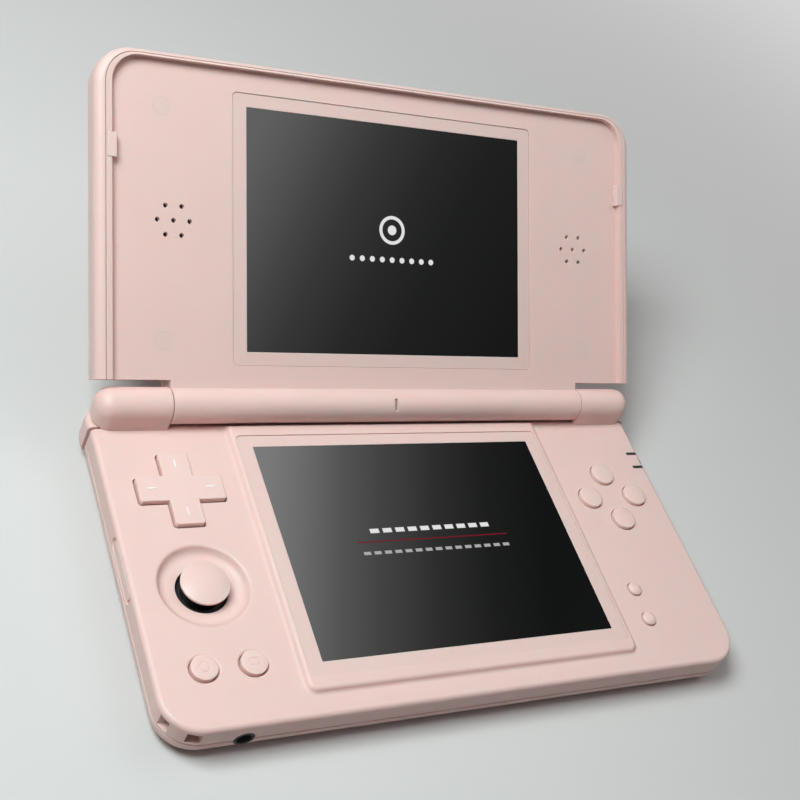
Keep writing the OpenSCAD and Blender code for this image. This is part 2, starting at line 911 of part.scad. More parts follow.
module charging_port() {
    color(steel) {
        difference() {
            translate([0, port_y + port_len / 2, seam_z])
                rotate([0, 0, 90])
                    pill(port_w, port_h, port_len);
            translate([0, port_y + port_len / 2 + 1, seam_z])
                rotate([0, 0, 90])
                    pill(port_w - 0.6, port_h - 0.6, port_len);
        }
        block(
            [-port_w / 2 + 1.2, port_y + 0.9, seam_z - 0.35],
            [port_w / 2 - 1.2, port_y + port_len - 1.2, seam_z + 0.35]
        );
    }
}

module card_reader() {
    x1 = case_w / 2 - wall - 0.3;
    x0 = x1 - card_len;
    color(steel)
        difference() {
            block(
                [x0, card_pos_y - card_w / 2 - 1, board_top],
                [x1, card_pos_y + card_w / 2 + 1, board_top + card_t]
            );
            block(
                [x0 + 1, card_pos_y - card_w / 2, board_top + 0.3],
                [x1 + 1, card_pos_y + card_w / 2, board_top + card_t - 0.3]
            );
        }
}

module face_key_membrane() {
    color(silicone_grey)
        translate([0, 0, board_top])
            linear_extrude(membrane_top - board_top) {
                translate(face_pos)
                    circle(face_key_spread);
                for (k = face_keys)
                    translate(face_place(k))
                        circle(face_key_r + key_flange_lip);
            }
}

module start_select_membrane() {
    color(silicone_grey)
        translate([start_pos[0], (start_pos[1] + select_pos[1]) / 2, board_top])
            linear_extrude(membrane_top - board_top)
                rotate(90)
                    pill_outline(start_pos[1] - select_pos[1] + small_pad_w, small_pad_w);
}

module direction_pad_membrane() {
    color(silicone_grey) {
        rod(pad_pos, pad_len / 2, board_top, pad_membrane_top);
        rod(pad_pos, 1.4, board_top, pad_pivot_z - pad_pivot_r);
    }
}

module menu_key_membrane() {
    color(silicone_grey) {
        for (place = [home_pos, return_pos])
            rod(place, 3.2, board_top, membrane_top);
        block(
            [home_pos[0], home_pos[1] - 1, board_top],
            [return_pos[0], home_pos[1] + 3, membrane_top]
        );
    }
}

module stick_module() {
    color([0.10, 0.10, 0.11])
        translate([stick_pos[0], stick_pos[1], 0])
            difference() {
                block([-module_half, -module_half, floor_z], [module_half, module_half, module_top]);
                block([-6, -6, floor_z + 0.8], [6, 6, module_top - 0.7]);
                rod([0, 0], 4.6, floor_z + 1, big);
                translate([0, 0, stick_pivot_z])
                    rotate([0, 90, 0])
                        cylinder(r = gimbal_pin_r + running_gap, h = 2 * gimbal_pin_x + 0.4, center = true);
            }
}

module status_windows() {
    color(screen_black)
        intersection() {
            base_blank();
            window_prisms();
        }
}

// Hollow steel axle of the left side, through which the lid's ribbon passes
module hinge_axle() {
    color(steel)
        difference() {
            about_hinge(axle_r, -knuckle_x - axle_grip, -barrel_x + axle_grip);
            about_hinge(axle_r - 0.9, -knuckle_x - axle_grip - 1, -barrel_x + axle_grip + 1);
        }
}

// Friction unit of the right side: a body in the knuckle and a shaft in the barrel
module hinge_damper() {
    color(steel) {
        about_hinge(damper_r, knuckle_x + 0.3, knuckle_x + damper_len);
        about_hinge(axle_r, barrel_x - axle_grip, knuckle_x + 0.3 + eps);
    }
}

module shoulder_pins() {
    color(steel)
        both_sides()
            shoulder_pin_rods(shoulder_pin_r, shoulder_pin_seat, shoulder_pin_seat);
}

module shoulder_switches() {
    z0 = bay_floor_z + 2.2;
    size = [4, 3.8, 2.4];
    color([0.15, 0.15, 0.16])
        both_sides()
            for (x = [knuckle_x - 4.5, knuckle_x + 4.5])
                translate([x, bay_y, z0]) {
                    translate([-size[0] / 2, 0, 0])
                        cube(size);
                    translate([0, size[1] - eps, size[2] / 2])
                        rotate([-90, 0, 0])
                            cylinder(r = 0.8, h = switch_tip_y - bay_y - size[1]);
                }
}

module side_switches() {
    x = case_w / 2 - wall - 2.4;
    color([0.15, 0.15, 0.16]) {
        for (s = [-1, 1])
            mirror([1, 0, 0])
                side_switch(x, rocker_y + s * (rocker_len / 2 - 1.5));
        side_switch(x, power_y);
    }
}

module side_switch(x, y) {
    block([x - 1.5, y - 1.8, board_top], [x, y + 1.8, board_top + 2.4]);
    translate([x - eps, y, side_z])
        rotate([0, 90, 0])
            cylinder(r = 0.6, h = 0.6);
}

// ---------------------------------------------------------------- lid

// Everything between z0 and z1 inside the lid's outline, cut back around the hinge
module lid_blank(z0, z1, r_top, r_bottom) {
    depth = joint_y - lid_front_y + 2 * corner_r;
    difference() {
        translate([0, lid_front_y + depth / 2, 0])
            slab(case_w, depth, corner_r, z0, z1, r_top, r_bottom);
        block([-case_w, joint_y, 0], [case_w, big, big]);
        both_sides()
            block([barrel_x, lid_corner_y, 0], [case_w, big, big]);
        // The outside slopes down to the barrel
        translate([0, joint_y - lid_back_run, outer_z - lid_back_r + lid_back_lift])
            rotate([90, 0, 90])
                linear_extrude(2 * case_w, center = true)
                    corner_waste(lid_back_r);
    }
}

module lid_cavity(z0, z1, r_top = 0) {
    depth = lid_cavity_y - lid_front_y;
    intersection() {
        translate([0, lid_front_y + wall + depth / 2, 0])
            slab(case_w - 2 * wall, depth, corner_r - wall, z0, z1, r_top);
        block([-case_w, -big, z0 - 1], [case_w, lid_cavity_y, z1 + 1]);
    }
}

// The shallow tray that the rim encloses
module lid_tray() {
    depth = big;
    translate([0, lid_front_y + rim_end + depth / 2, 0])
        slab(case_w - 2 * rim_side, depth, corner_r - 2.5, rim_z - 1, inner_z);
}

// Opening in the outer shell's underside that takes the inner frame
module lid_pocket(gap) {
    translate([0, lid_front_y + lid_band_end + gap + big / 2, 0])
        slab(
            case_w - 2 * (lid_band + gap), big, corner_r - (lid_band + lid_band_end) / 2 - gap,
            rim_z - 1, lid_seam_z
        );
}

module lid_inner_frame() {
    color(shell_pink)
        swung_open()
            difference() {
                union() {
                    difference() {
                        intersection() {
                            lid_blank(rim_z, lid_seam_z, 0, lid_rim_r);
                            lid_pocket(lid_seam_gap);
                        }
                        lid_tray();
                        lid_cavity(inner_z + wall, lid_seam_z + 1);
                    }
                    for (place = lid_screw_places)
                        rod(place, lid_boss_r, inner_z + wall - eps, lid_boss_z);
                }
                translate([0, upper_y, 0]) {
                    translate([0, 0, upper_face_z - frame_t])
                        linear_extrude(2 * frame_t)
                            frame_pocket();
                    block(
                        [-display_w / 2 - display_play, -display_h / 2 - display_play, inner_z],
                        [display_w / 2 + display_play, display_h / 2 + display_play, big]
                    );
                }
                for (place = lid_screw_places) {
                    rod(place, plug_r, inner_z - 1, inner_z + plug_t);
                    rod(place, screw_head_r + seat_gap, inner_z, lid_screw_seat_z);
                    rod(place, screw_r + seat_gap, inner_z, big);
                }
                both_sides()
                    sound_holes();
                both_sides()
                    bumper(0);
            }
}

module sound_holes() {
    translate([speaker_x, speaker_y, inner_z - 1]) {
        cylinder(r = sound_hole_r, h = wall + 2);
        for (a = [0:60:300])
            rotate(a)
                translate([sound_pitch, 0, 0])
                    cylinder(r = sound_hole_r, h = wall + 2);
    }
}

module bumper(gap) {
    block(
        [case_w / 2 - rim_side - 1.1, upper_y - 20.6, rim_z - gap],
        [case_w / 2 - lid_band - 0.4, upper_y - 14.7, inner_z]
    );
}

module lid_bumpers() {
    color(key_pink)
        swung_open()
            both_sides()
                bumper(0.2);
}

module lid_outer_shell() {
    color(shell_pink)
        swung_open()
            difference() {
                union() {
                    difference() {
                        lid_blank(rim_z, outer_z, lid_edge_r, lid_rim_r);
                        lid_pocket(0);
                        lid_cavity(lid_seam_z, outer_z - wall, lid_edge_r - wall);
                    }
                    for (place = lid_screw_places)
                        rod(place, lid_boss_r, lid_boss_z, outer_z - wall + eps);
                }
                for (place = lid_screw_places)
                    rod(place, screw_r, lid_boss_z - 1, lid_screw_end_z + 0.1);
            }
}

module hinge_barrel() {
    color(shell_pink)
        swung_open()
            difference() {
                about_hinge(barrel_r, -barrel_x, barrel_x);
                block([-case_w, 0, inner_z], [case_w, joint_y, big]);
                both_sides()
                    about_hinge(axle_r + running_gap, barrel_x - axle_grip - 0.3, case_w);
                rod([0, hinge_y], mic_r + seat_gap, mic_z, mic_z + mic_t + seat_gap);
                translate([0, hinge_y, mic_z - barrel_r])
                    linear_extrude(barrel_r + eps)
                        square(mic_slot, center = true);
            }
}

module microphone() {
    color(steel)
        swung_open()
            rod([0, hinge_y], mic_r, mic_z, mic_z + mic_t);
}

module speaker() {
    color([0.14, 0.14, 0.15])
        swung_open()
            translate([speaker_x, speaker_y, inner_z + wall]) {
                linear_extrude(2.6)
                    rounded_outline(17, 13, 2);
                cylinder(r = 5, h = 3.6);
            }
}

module right_speaker() speaker();
module left_speaker() mirror([1, 0, 0]) speaker();

module lid_screw_plugs() {
    color(key_pink)
        swung_open()
            for (place = lid_screw_places)
                rod(place, plug_r, inner_z, inner_z + plug_t);
}

module lid_screws() {
    color(steel)
        swung_open()
            for (place = lid_screw_places)
                screw(place, lid_screw_seat_z, lid_screw_end_z, 1);
}

module lid_board() {
    z0 = upper_face_z + frame_t + display_t;
    color(board_green)
        swung_open()
            translate([0, upper_y, z0]) {
                translate([0, 0, lid_board_t / 2])
                    cube([screen_w * 0.73, screen_h * 0.39, lid_board_t], center = true);
                translate([0, 0, lid_board_t + 0.5])
                    cube([screen_w * 0.2, screen_h * 0.22, 1], center = true);
            }
}

// ---------------------------------------------------------------- direction pad and stick

module direction_pad() {
    color(key_pink)
        difference() {
            translate([pad_pos[0], pad_pos[1], 0]) {
                translate([0, 0, pad_base_z])
                    linear_extrude(deck_z + pad_rise - pad_base_z)
                        cross_outline(pad_len, pad_arm);
                rod([0, 0], pad_flange_r, pad_base_z - pad_flange_t, pad_base_z);
                // A short rib along each arm
                for (a = [0:90:270])
                    rotate(a)
                        translate([pad_len / 2 - 3.4, 0, deck_z + pad_rise])
                            cube([2.4, 0.45, 0.24], center = true);
            }
            translate([pad_pos[0], pad_pos[1], pad_pivot_z])
                sphere(pad_pivot_r + running_gap);
        }
}

// Ball under the middle of the direction pad, on which it rocks
module direction_pad_pivot() {
    color(steel)
        translate([pad_pos[0], pad_pos[1], pad_pivot_z])
            sphere(pad_pivot_r);
}

// Rocker of the stick module: it turns about X in the housing and carries the stick's own pin
module stick_gimbal() {
    color([0.85, 0.85, 0.85])
        translate([stick_pos[0], stick_pos[1], stick_pivot_z])
            difference() {
                rotate([0, 90, 0]) {
                    cylinder(r = gimbal_r, h = gimbal_len, center = true);
                    cylinder(r = gimbal_pin_r, h = 2 * gimbal_pin_x, center = true);
                }
                cube([7, 2.6, 6], center = true);
                rotate([90, 0, 0])
                    cylinder(r = stick_pin_r + running_gap, h = 6, center = true);
            }
}

module stick_shaft() {
    color([0.10, 0.10, 0.11])
        translate([stick_pos[0], stick_pos[1], 0]) {
            rod([0, 0], shaft_r, stick_pivot_z - 1.6, stick_rim_z + 0.6);
            translate([0, 0, stick_pivot_z])
                rotate([90, 0, 0])
                    cylinder(r = stick_pin_r, h = 3.8, center = true);
            // Dust dome that fills the hole in the bowl
            intersection() {
                translate([0, 0, stick_pivot_z])
                    sphere(shroud_r);
                rod([0, 0], shroud_r, stick_pivot_z + 3.6, big);
            }
            rod([0, 0], 2.6, stick_pivot_z + 4, stick_rim_z);
        }
}

module stick_cap() {
    dome_r = (stick_r * stick_r + stick_dome * stick_dome) / (2 * stick_dome);
    color(key_pink)
        translate([stick_pos[0], stick_pos[1], stick_rim_z])
            difference() {
                rotate_extrude()
                    intersection() {
                        difference() {
                            square([stick_r, stick_cap_t]);
                            translate([stick_r - 0.5, 0.5])
                                mirror([0, 1])
                                    corner_waste(0.5);
                        }
                        translate([0, stick_cap_t - dome_r])
                            circle(dome_r, $fn = 400);
                    }
                rod([0, 0], shaft_r, -1, 0.6);
            }
}

// ---------------------------------------------------------------- keys

// Domed key with a flange that keeps it under the deck
module key(place, r, rise, dome) {
    top = deck_z + rise;
    dome_r = (r * r + dome * dome) / (2 * dome);
    color(key_pink)
        translate([place[0], place[1], 0])
            rotate_extrude() {
                intersection() {
                    translate([0, key_flange_z])
                        square([r, top - key_flange_z]);
                    translate([0, top - dome_r])
                        circle(dome_r, $fn = 400);
                }
                translate([0, key_flange_z])
                    square([r + key_flange_lip, key_flange_t]);
            }
}

function face_place(k) = face_pos + face_key_spread * [cos(90 * k), sin(90 * k)];

module right_face_key() key(face_place(0), face_key_r, face_key_rise, 0.35);
module top_face_key() key(face_place(1), face_key_r, face_key_rise, 0.35);
module left_face_key() key(face_place(2), face_key_r, face_key_rise, 0.35);
module bottom_face_key() key(face_place(3), face_key_r, face_key_rise, 0.35);
module start_key() key(start_pos, small_key_r, small_key_rise, 0.7);
module select_key() key(select_pos, small_key_r, small_key_rise, 0.7);

// A key whose top is engraved with the outline of the child
module marked_key(place) {
    difference() {
        key(place, menu_key_r, menu_key_rise, 0.2);
        translate([place[0], place[1], deck_z + menu_key_rise - 0.15])
            linear_extrude(1)
                children();
    }
}

module home_key() {
    color(key_pink)
        marked_key(home_pos)
            difference() {
                circle(1.3);
                circle(1.05);
            }
}

module return_key() {
    color(key_pink)
        marked_key(return_pos)
            difference() {
                rounded_outline(2.6, 2, 0.6);
                rounded_outline(2.1, 1.5, 0.4);
            }
}

// A key in the right side wall with its flange behind the wall
module side_key(y, len) {
    x = case_w / 2;
    translate([0, y, side_z]) {
        translate([x - wall / 2 - side_flange_gap / 2 - 0.05, 0, 0])
            pill(len, rocker_h, wall + side_flange_gap - 0.1);
        translate([x - wall - side_flange_gap - side_flange_t / 2, 0, 0])
            pill(len + 2.4, rocker_h + 0.4, side_flange_t);
    }
}

module power_button() {
    color(key_pink)
        side_key(power_y, power_len);
}

module volume_rocker() {
    color(key_pink)
        mirror([1, 0, 0])
            side_key(rocker_y, rocker_len);
}

// ---------------------------------------------------------------- shoulder buttons

// The case's outline standing slightly proud, hollow behind the shoulder buttons' faces
module shoulder_hood(top, r_top) {
    inset = shoulder_wall;
    difference() {
        slab(
            case_w + 2 * shoulder_proud, case_d + 2 * shoulder_proud, shoulder_corner_r,
            shoulder_floor_z - shoulder_belly_r / 2, top, r_top, shoulder_belly_r
        );
        slab(
            case_w + 2 * shoulder_proud - 2 * inset, case_d + 2 * shoulder_proud - 2 * inset,
            shoulder_corner_r - inset, shoulder_floor_z + shoulder_skin, top - shoulder_skin
        );
    }
}

module outer_shoulder() {
    top = outer_bay_top - shoulder_gap + 0.1;
    low = knuckle_foot_z - shoulder_gap;
    x0 = knuckle_x + shoulder_gap;
    pin = outer_shoulder_pin;
    color(shell_pink)
        difference() {
            union() {
                intersection() {
                    shoulder_hood(top, 1.2);
                    union() {
                        block([x0, bay_y + shoulder_travel, shoulder_floor_z], [case_w, case_d, low]);
                        block([pin[0] + 0.6, bay_y + shoulder_gap, shoulder_floor_z], [case_w, case_d, low]);
                        block([x0, knuckle_foot_y + shoulder_travel, low - 1], [case_w, case_d, top]);
                        block(
                            [bay_corner_x + shoulder_gap, bay_y + shoulder_gap, low - 1],
                            [case_w, case_d, top]
                        );
                    }
                }
                rod(pin, shoulder_boss_r, shoulder_floor_z, top);
                block(
                    [x0, knuckle_foot_y + shoulder_travel, shoulder_floor_z],
                    [x0 + 1.2, case_d / 2 - 1, top]
                );
            }
            rod(pin, shoulder_pin_r + running_gap, 0, big);
        }
}

module inner_shoulder() {
    top = inner_bay_top - shoulder_gap + 0.1;
    x0 = inner_bay_x + shoulder_gap;
    x1 = knuckle_x - shoulder_gap + 0.1;
    pin = inner_shoulder_pin;
    color(shell_pink)
        difference() {
            union() {
                intersection() {
                    shoulder_hood(top, 0.4);
                    block([x0, bay_y + shoulder_travel, shoulder_floor_z], [x1, case_d, top]);
                }
                rod(pin, shoulder_boss_r, shoulder_floor_z, top);
                block([x1 - 1.2, bay_y + shoulder_travel, shoulder_floor_z], [x1, case_d / 2 - 1, top]);
            }
            rod(pin, shoulder_pin_r + running_gap, 0, big);
        }
}

module right_outer_shoulder() outer_shoulder();
module left_outer_shoulder() mirror([1, 0, 0]) outer_shoulder();
module right_inner_shoulder() inner_shoulder();
module left_inner_shoulder() mirror([1, 0, 0]) inner_shoulder();

// ---------------------------------------------------------------- assembly

base_bottom_shell();
base_top_shell();
lower_screen_frame();
lower_screen_glass();
lower_display();
main_board();
battery();
rubber_feet();
case_screws();
audio_jack();
charging_port();
card_reader();
face_key_membrane();
start_select_membrane();
direction_pad_membrane();
menu_key_membrane();
stick_module();
status_windows();
hinge_axle();
hinge_damper();
shoulder_pins();
shoulder_switches();
side_switches();
lid_inner_frame();
lid_outer_shell();
hinge_barrel();
upper_screen_frame();
upper_screen_glass();
upper_display();
left_speaker();
right_speaker();
lid_bumpers();
lid_screw_plugs();
lid_screws();
lid_board();
microphone();
direction_pad_pivot();
direction_pad();
stick_gimbal();
stick_shaft();
stick_cap();
right_face_key();
bottom_face_key();
left_face_key();
top_face_key();
start_key();
select_key();
home_key();
return_key();
power_button();
volume_rocker();
left_outer_shoulder();
left_inner_shoulder();
right_outer_shoulder();
right_inner_shoulder();
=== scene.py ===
"""Clamshell handheld game console: finishes, soft edges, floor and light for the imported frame."""
import json
import math

import bmesh
import bpy
from mathutils import Matrix, Vector


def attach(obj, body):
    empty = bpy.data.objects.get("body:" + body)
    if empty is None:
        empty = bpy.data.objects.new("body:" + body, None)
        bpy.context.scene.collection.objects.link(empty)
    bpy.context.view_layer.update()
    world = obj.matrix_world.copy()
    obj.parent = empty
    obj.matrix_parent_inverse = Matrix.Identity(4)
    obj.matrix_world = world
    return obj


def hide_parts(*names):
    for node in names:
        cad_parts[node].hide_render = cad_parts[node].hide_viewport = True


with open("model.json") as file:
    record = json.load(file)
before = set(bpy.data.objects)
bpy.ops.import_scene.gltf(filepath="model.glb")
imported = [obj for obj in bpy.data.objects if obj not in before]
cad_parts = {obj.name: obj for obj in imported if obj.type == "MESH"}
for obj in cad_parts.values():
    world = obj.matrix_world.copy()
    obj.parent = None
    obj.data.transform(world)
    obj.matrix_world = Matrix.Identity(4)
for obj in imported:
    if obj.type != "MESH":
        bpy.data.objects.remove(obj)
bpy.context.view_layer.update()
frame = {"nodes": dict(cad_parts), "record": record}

MM = 0.001
SCENE = bpy.context.scene
NODES = frame["nodes"]
RECORD = frame["record"]
BEHAVIOUR = RECORD["behaviour"]
BODY_OF = {node: body for body, members in BEHAVIOUR["bodies"].items() for node in members}
SLOT_OF = {part["node"]: part["material_slot"] for part in RECORD["subparts"]}


def box_of(node):
    """Lowest and highest corner of a node's own mesh."""
    places = [v.co for v in NODES[node].data.vertices]
    low = Vector([min(place[i] for place in places) for i in range(3)])
    high = Vector([max(place[i] for place in places) for i in range(3)])
    return low, high


# ------------------------------------------------------------------ camera

# Solved once from the corners of both screens and of the case in the picture
CAMERA_PLACE = Vector((-0.17665, -0.16733, 0.26476))
CAMERA_RIGHT = Vector((0.836886, -0.352564, 0.418713))
CAMERA_UP = Vector((0.000455, 0.765391, 0.643566))
CAMERA_BACK = Vector((-0.547377, -0.538401, 0.640705))
SENSOR_MM = 36.0
LENS_MM = 61.605
SHIFT_X = -0.125


def add_camera():
    data = bpy.data.cameras.new("camera")
    data.sensor_width = SENSOR_MM
    data.lens = LENS_MM
    data.shift_x = SHIFT_X
    data.clip_start = 10 * MM
    camera = bpy.data.objects.new("camera", data)
    SCENE.collection.objects.link(camera)
    turn = Matrix((CAMERA_RIGHT, CAMERA_UP, CAMERA_BACK)).transposed()
    camera.matrix_world = Matrix.Translation(CAMERA_PLACE) @ turn.to_4x4()
    SCENE.camera = camera


add_camera()


# ------------------------------------------------------------------ materials

def opaque(colour, share=1.0):
    """A colour times a share, with full alpha."""
    return tuple(channel * share for channel in colour) + (1.0,)


class Shader:
    """A material's node tree with short calls for the nodes used here."""

    def __init__(self, name):
        self.material = bpy.data.materials.new(name)
        self.material.use_nodes = True
        self.tree = self.material.node_tree
        self.bsdf = self.tree.nodes["Principled BSDF"]
        self.coordinates = self.tree.nodes.new("ShaderNodeTexCoord").outputs["Object"]

    def node(self, kind, **values):
        made = self.tree.nodes.new(kind)
        for key, value in values.items():
            setattr(made, key, value)
        return made

    def link(self, source, target):
        self.tree.links.new(source, target)

    def feed(self, socket, value):
        """Link an output to a socket, or set a constant on it."""
        if hasattr(value, "is_output"):
            self.link(value, socket)
        else:
            socket.default_value = value

    def put(self, socket, value):
        self.feed(self.bsdf.inputs[socket], value)

    def math(self, operation, a, b=0.0):
        made = self.node("ShaderNodeMath", operation=operation)
        self.feed(made.inputs[0], a)
        self.feed(made.inputs[1], b)
        return made.outputs[0]

    def noise(self, scale, detail=3.0, roughness=0.5, vector=None):
        """Noise with this many cells in a metre."""
        made = self.node("ShaderNodeTexNoise")
        made.inputs["Scale"].default_value = scale
        made.inputs["Detail"].default_value = detail
        made.inputs["Roughness"].default_value = roughness
        self.link(vector or self.coordinates, made.inputs["Vector"])
        return made.outputs["Fac"]

    def ramp(self, value, low, high, from_low=0.0, from_high=1.0):
        made = self.node("ShaderNodeMapRange")
        made.inputs["From Min"].default_value = from_low
        made.inputs["From Max"].default_value = from_high
        made.inputs["To Min"].default_value = low
        made.inputs["To Max"].default_value = high
        self.link(value, made.inputs["Value"])
        return made.outputs["Result"]

    def mix(self, factor, a, b):
        made = self.node("ShaderNodeMix", data_type="RGBA")
        self.feed(made.inputs["Factor"], factor)
        self.feed(made.inputs["A"], a)
        self.feed(made.inputs["B"], b)
        return made.outputs["Result"]

    def bump(self, height, strength, depth_mm):
        made = self.node("ShaderNodeBump")
        made.inputs["Strength"].default_value = strength
        made.inputs["Distance"].default_value = depth_mm * MM
        self.link(height, made.inputs["Height"])
        self.link(made.outputs["Normal"], self.bsdf.inputs["Normal"])


PLASTIC_IOR = 1.48
FLOW_MARKS = 55.0
FLOW_SHADE = 0.955
WEAR_MARKS = 240.0
UNEVEN_GLOSS = 0.05
# How far red, green and blue light travel inside pink plastic, in metres
PINK_DEPTHS = (0.0020, 0.0007, 0.0006)
RIB_WHITE = (0.88, 0.80, 0.79)


def moulded_plastic(name, colour, rough, grain, depth, soft=0.0, whitish_above=None):
    """Moulded plastic: fine spark grain, faint flow marks and slightly uneven gloss.

    grain and depth are the grain's width and depth in millimetres, soft is the share of light
    that scatters inside, and what lies above the given height is coloured whitish.
    """
    s = Shader(name)
    pigment = s.mix(s.noise(FLOW_MARKS), opaque(colour, FLOW_SHADE), opaque(colour))
    if whitish_above is not None:
        height = s.node("ShaderNodeSeparateXYZ")
        s.link(s.coordinates, height.inputs["Vector"])
        raised = s.math("GREATER_THAN", height.outputs["Z"], whitish_above)
        pigment = s.mix(raised, pigment, opaque(RIB_WHITE))
    s.put("Base Color", pigment)
    wear = s.noise(WEAR_MARKS, 4.0, 0.6)
    s.put("Roughness", s.ramp(wear, rough - UNEVEN_GLOSS, rough + UNEVEN_GLOSS))
    s.put("IOR", PLASTIC_IOR)
    s.put("Subsurface Weight", soft)
    s.put("Subsurface Radius", PINK_DEPTHS)
    s.put("Subsurface Scale", 1.0)
    s.bump(s.noise(1.0 / (grain * MM), 2.0, 0.55), 0.35, depth)
    return s.material


def metal(name, colour, rough):
    """Machined or pressed metal with fine brushing."""
    s = Shader(name)
    stretch = s.node("ShaderNodeMapping")
    stretch.inputs["Scale"].default_value = (1.0, 12.0, 12.0)
    s.link(s.coordinates, stretch.inputs["Vector"])
    lines = s.noise(900.0, 4.0, 0.6, stretch.outputs["Vector"])
    s.put("Metallic", 1.0)
    s.put("Base Color", s.mix(lines, opaque(colour, 0.9), opaque(colour)))
    s.put("Roughness", s.ramp(lines, rough - 0.07, rough + 0.1))
    s.bump(lines, 0.25, 0.01)
    return s.material


def rubber(name, colour, rough):
    """Dull rubber or silicone with a fine pebble."""
    s = Shader(name)
    cloud = s.noise(300.0, 4.0)
    s.put("Base Color", s.mix(cloud, opaque(colour, 0.85), opaque(colour)))
    s.put("Roughness", s.ramp(cloud, rough - 0.08, rough + 0.08))
    s.bump(s.noise(4000.0, 2.0), 0.4, 0.03)
    return s.material


def board(name):
    """Solder resist over copper tracks."""
    s = Shader(name)
    cells = s.node("ShaderNodeTexVoronoi", feature="F1", distance="MANHATTAN")
    cells.inputs["Scale"].default_value = 420.0
    s.link(s.coordinates, cells.inputs["Vector"])
    tracks = s.math("LESS_THAN", cells.outputs["Distance"], 0.32)
    s.put("Base Color", s.mix(tracks, opaque((0.012, 0.075, 0.032)), opaque((0.03, 0.15, 0.06))))
    s.put("Roughness", 0.4)
    s.put("Coat Weight", 0.3)
    s.bump(tracks, 0.3, 0.03)
    return s.material


SHELL_PINK = (0.82, 0.56, 0.52)
FRAME_PINK = tuple(0.98 * channel for channel in SHELL_PINK)
KEY_PINK = (0.835, 0.585, 0.545)
# The ribs on the direction pad are whitish from just under its highest point
RIB_WHITE_DEPTH = 0.06 * MM
rib_foot = box_of("direction_pad")[1].z - RIB_WHITE_DEPTH

shell_plastic = moulded_plastic(
    "shell_plastic", SHELL_PINK, rough=0.46, grain=0.11, depth=0.010, soft=0.3
)
frame_plastic = moulded_plastic(
    "frame_plastic", FRAME_PINK, rough=0.54, grain=0.13, depth=0.014, soft=0.3
)
key_plastic = moulded_plastic(
    "key_plastic", KEY_PINK, rough=0.40, grain=0.09, depth=0.007, soft=0.3
)
pad_plastic = moulded_plastic(
    "pad_plastic", KEY_PINK, rough=0.40, grain=0.09, depth=0.007, soft=0.3, whitish_above=rib_foot
)
black_plastic = moulded_plastic(
    "black_plastic", (0.008, 0.008, 0.009), rough=0.62, grain=0.12, depth=0.012
)
stick_plastic = moulded_plastic(
    "stick_plastic", (0.005, 0.005, 0.005), rough=0.8, grain=0.12, depth=0.012
)
white_plastic = moulded_plastic(
    "white_plastic", (0.75, 0.75, 0.74), rough=0.4, grain=0.12, depth=0.008
)
battery_wrap = moulded_plastic(
    "battery_wrap", (0.022, 0.024, 0.03), rough=0.5, grain=0.3, depth=0.01
)
steel = metal("steel", (0.55, 0.55, 0.56), rough=0.32)
display_metal = metal("display_metal", (0.23, 0.23, 0.24), rough=0.42)
foot_rubber = rubber("foot_rubber", (0.075, 0.068, 0.068), rough=0.75)
silicone = rubber("silicone", (0.52, 0.52, 0.53), rough=0.6)
circuit_board = board("circuit_board")
